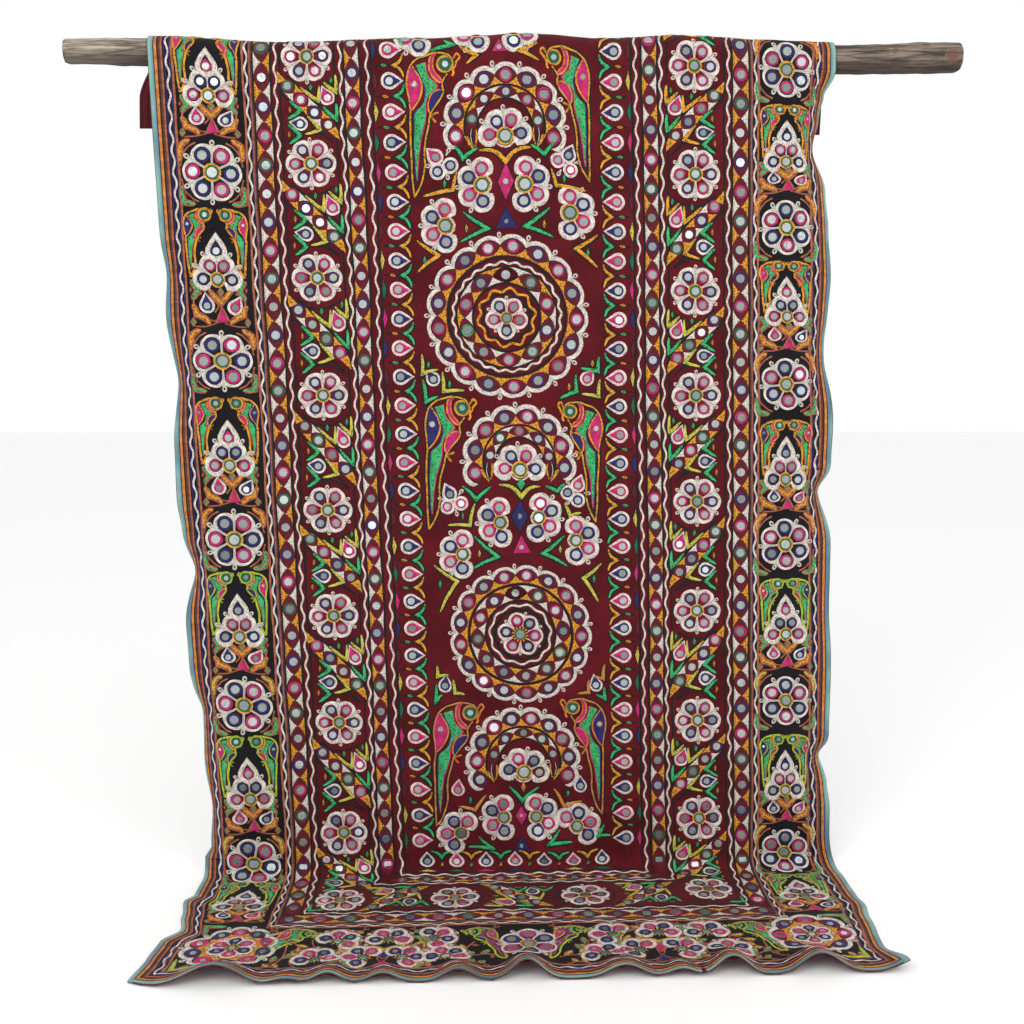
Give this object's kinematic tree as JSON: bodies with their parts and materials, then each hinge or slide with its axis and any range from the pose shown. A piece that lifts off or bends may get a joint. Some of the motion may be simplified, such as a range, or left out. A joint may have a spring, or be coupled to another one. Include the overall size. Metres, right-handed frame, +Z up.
{
  "type": "embroidered wall hanging on pole",
  "caption": "Mirror-work embroidered wall hanging draped over a rough wooden pole, falling to the floor and lying forward on it with a rippled hem.",
  "frame": {"origin": "middle of the pole's axis", "axes": "+X along the pole towards its thicker end, +Z up, the worked face of the hanging part looks towards -Y, where the lower end lies on the floor"},
  "size_m": [1.743, 0.5119, 1.7057],
  "materials": {
    "maroon_cloth": "matt woven cotton",
    "black_cloth": "matt woven cotton",
    "ribbon": "ribbed woven ribbon",
    "rear_hem": "matt woven cotton",
    "lining_cloth": "plain woven cotton with faint stripes",
    "thread_white": "chain-stitched cotton thread",
    "thread_gold": "chain-stitched cotton thread",
    "thread_colours": "chain-stitched cotton thread",
    "mirror": "small silvered glass discs",
    "bark": "weathered bark, partly worn to the grain"
  },
  "bodies": {
    "root": {"field_panel": "maroon_cloth", "border_left": "black_cloth", "border_right": "black_cloth", "border_front": "black_cloth", "binding_left": "ribbon", "binding_right": "ribbon", "binding_front": "ribbon", "binding_back": "rear_hem", "lining": "lining_cloth", "pole": "bark"}
  },
  "joints": []
}
